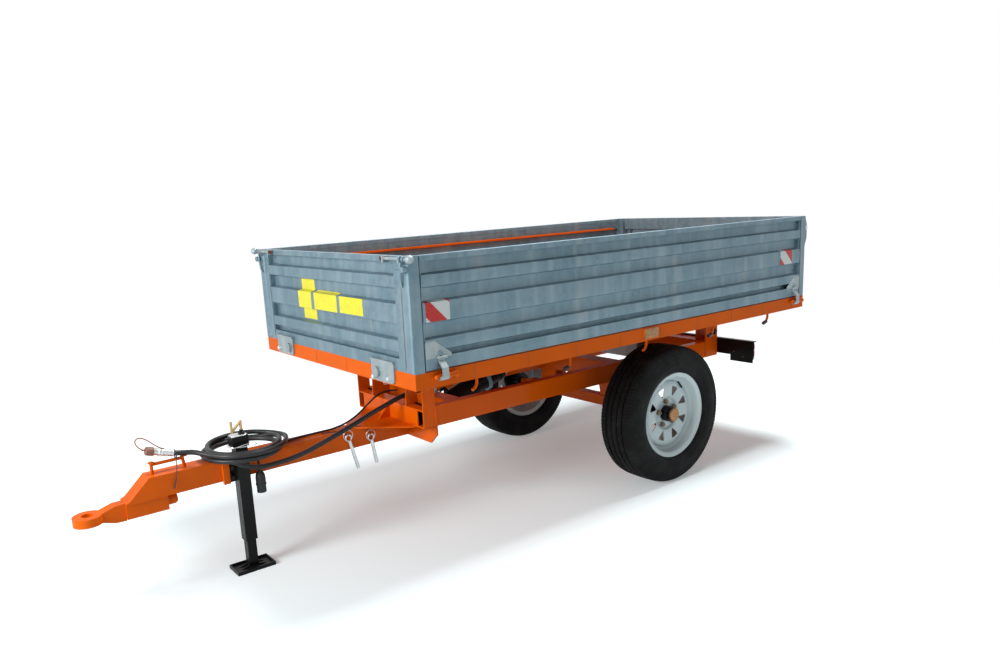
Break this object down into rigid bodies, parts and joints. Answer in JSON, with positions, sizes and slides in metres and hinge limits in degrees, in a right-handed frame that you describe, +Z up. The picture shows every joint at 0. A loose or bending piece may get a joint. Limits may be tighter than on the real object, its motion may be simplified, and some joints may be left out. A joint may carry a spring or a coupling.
{
  "type": "single-axle dump trailer",
  "caption": "Small single-axle dump trailer: orange chassis and drawbar, galvanised bed with hung drop sides, telescopic tipping cylinder, screw jack, swivelling tow eye.",
  "frame": {"origin": "on the ground, midway between the tow eye's tip and the rear latches, on the centre line", "axes": "+X forward to the tow eye, +Y to the trailer's left, +Z up along the tow eye's bore"},
  "size_m": [3.412, 1.3098, 1.1545],
  "materials": {
    "orange_paint": "gloss powder coat",
    "galvanised": "hot-dip galvanised, spangled",
    "white_paint": "gloss",
    "black_paint": "satin",
    "plated_steel": "zinc plated",
    "yellow_zinc": "yellow passivated",
    "tyre_rubber": "matt",
    "hose_rubber": "matt",
    "red_lens": "clear gloss",
    "amber_lens": "clear gloss",
    "black_plastic": "moulded"
  },
  "bodies": {
    "chassis": {"drawbar": "orange_paint", "jack_bracket": "black_paint", "jack_tube": "black_paint", "jack_crank": "yellow_zinc", "front_crossmember": "orange_paint", "chassis_beams": "orange_paint", "crossmembers": "orange_paint", "pivot_stands": "orange_paint", "axle_beam": "orange_paint", "axle_brackets": "orange_paint", "light_board": "black_paint", "rear_lamps": "red_lens", "locking_pins": "plated_steel", "hose_port": "plated_steel", "hose_run": "hose_rubber", "hose_coil": "hose_rubber", "hose_tail": "hose_rubber", "hose_coupling": "plated_steel", "cable_run": "black_plastic", "cable_plug": "black_plastic"},
    "eye": {"tow_eye": "orange_paint"},
    "leg": {"jack_leg": "black_paint"},
    "left_wheel": {"hub_left": "black_paint", "wheel_left": "white_paint", "tyre_left": "tyre_rubber"},
    "right_wheel": {"hub_right": "black_paint", "wheel_right": "white_paint", "tyre_right": "tyre_rubber"},
    "bed": {"bed_frame": "orange_paint", "bed_bearers": "orange_paint", "bed_floor": "orange_paint", "bed_bolster": "galvanised", "push_bracket": "galvanised", "pivot_blocks": "orange_paint", "front_board": "galvanised", "corner_posts": "galvanised", "front_brackets": "galvanised", "corner_levers": "galvanised", "side_reflectors": "amber_lens"},
    "left_side": {"side_board_left": "galvanised", "latches_left": "galvanised"},
    "right_side": {"side_board_right": "galvanised", "latches_right": "galvanised"},
    "tail": {"tailgate": "galvanised", "latches_tail": "galvanised"},
    "barrel": {"cylinder_barrel": "black_paint"},
    "stage_1": {"cylinder_stage_1": "plated_steel"},
    "stage_2": {"cylinder_stage_2": "plated_steel"},
    "rod": {"cylinder_rod": "plated_steel"}
  },
  "joints": [
    {"name": "eye_swivel", "type": "hinge", "parent": "chassis", "child": "eye", "pos_m": [1.657, 0, 0.3235], "axis": [1, 0, 0], "continuous": true},
    {"name": "jack_height", "type": "slide", "parent": "chassis", "child": "leg", "axis": [0, 0, 1], "range_m": [-0.15, 0.09]},
    {"name": "left_wheel_turn", "type": "hinge", "parent": "chassis", "child": "left_wheel", "pos_m": [-0.7, 0.508, 0.3145], "axis": [0, 1, 0], "continuous": true},
    {"name": "right_wheel_turn", "type": "hinge", "parent": "chassis", "child": "right_wheel", "pos_m": [-0.7, -0.508, 0.3145], "axis": [0, 1, 0], "continuous": true},
    {"name": "bed_tip", "type": "hinge", "parent": "chassis", "child": "bed", "pos_m": [-1.415, 0, 0.6005], "axis": [0, -1, 0], "range_deg": [0, 45]},
    {"name": "left_side_drop", "type": "hinge", "parent": "bed", "child": "left_side", "pos_m": [-0.7, 0.601, 1.1335], "axis": [1, 0, 0], "range_deg": [0, 100]},
    {"name": "right_side_drop", "type": "hinge", "parent": "bed", "child": "right_side", "pos_m": [-0.7, -0.601, 1.1335], "axis": [-1, 0, 0], "range_deg": [0, 100]},
    {"name": "tailgate_swing", "type": "hinge", "parent": "bed", "child": "tail", "pos_m": [-1.669, 0, 1.1335], "axis": [0, 1, 0], "range_deg": [0, 100]},
    {"name": "barrel_swing", "type": "hinge", "parent": "chassis", "child": "barrel", "pos_m": [0.19, 0, 0.415], "axis": [0, 1, 0], "range_deg": [-1, 32.4]},
    {"name": "stage_1_slide", "type": "slide", "parent": "barrel", "child": "stage_1", "axis": [-0.9427, 0, 0.3336], "range_m": [0, 0.2544]},
    {"name": "stage_2_slide", "type": "slide", "parent": "stage_1", "child": "stage_2", "axis": [-0.9427, 0, 0.3336], "range_m": [0, 0.2544]},
    {"name": "rod_slide", "type": "slide", "parent": "stage_2", "child": "rod", "axis": [-0.9427, 0, 0.3336], "range_m": [0, 0.2544]}
  ],
  "couplings": [
    {"joint": "barrel_swing", "follows": "bed_tip", "ratio": 0.70885},
    {"joint": "stage_1_slide", "follows": "bed_tip", "m_per_rad": 0.3233},
    {"joint": "stage_2_slide", "follows": "bed_tip", "m_per_rad": 0.3233},
    {"joint": "rod_slide", "follows": "bed_tip", "m_per_rad": 0.3233}
  ]
}
